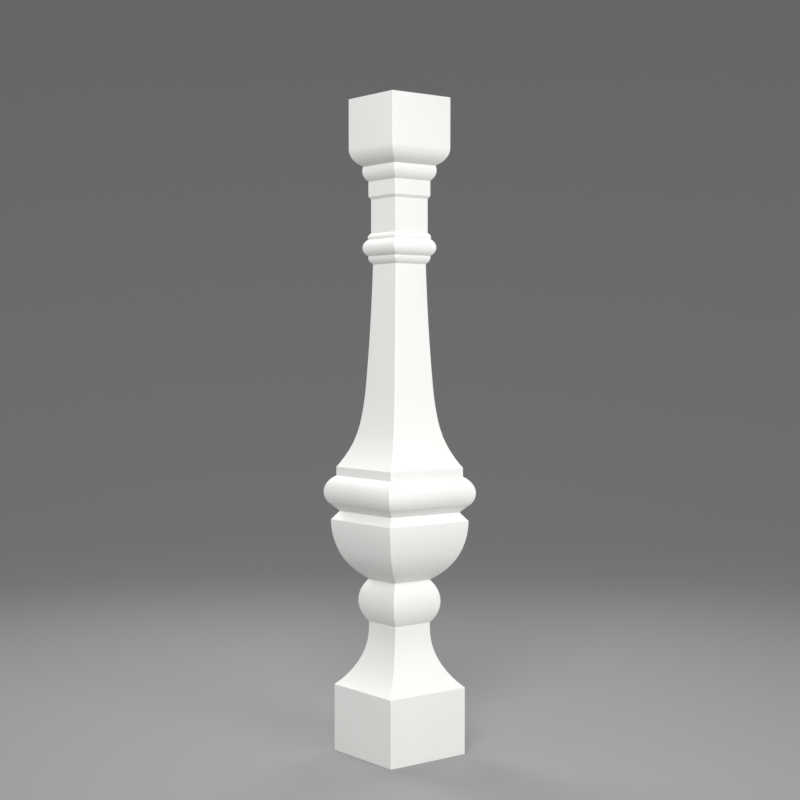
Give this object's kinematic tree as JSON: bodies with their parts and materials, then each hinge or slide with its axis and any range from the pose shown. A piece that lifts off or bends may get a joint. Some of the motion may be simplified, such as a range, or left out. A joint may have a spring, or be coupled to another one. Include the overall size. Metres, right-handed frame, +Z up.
{
  "type": "stair baluster",
  "caption": "White moulded stair baluster, square in plan, with a base block, coved neck, ball, bowl, bell-shaped shaft, collar and top block; stands under a handrail.",
  "frame": {"origin": "centre of the foot's flat underside", "axes": "+Z up along the baluster's axis, with the flat sides facing X and Y"},
  "size_m": [0.15, 0.15, 0.9],
  "materials": {
    "white_casting": "smooth white factory coat, between matt and satin"
  },
  "bodies": {
    "root": {"baluster": "white_casting"}
  },
  "joints": []
}
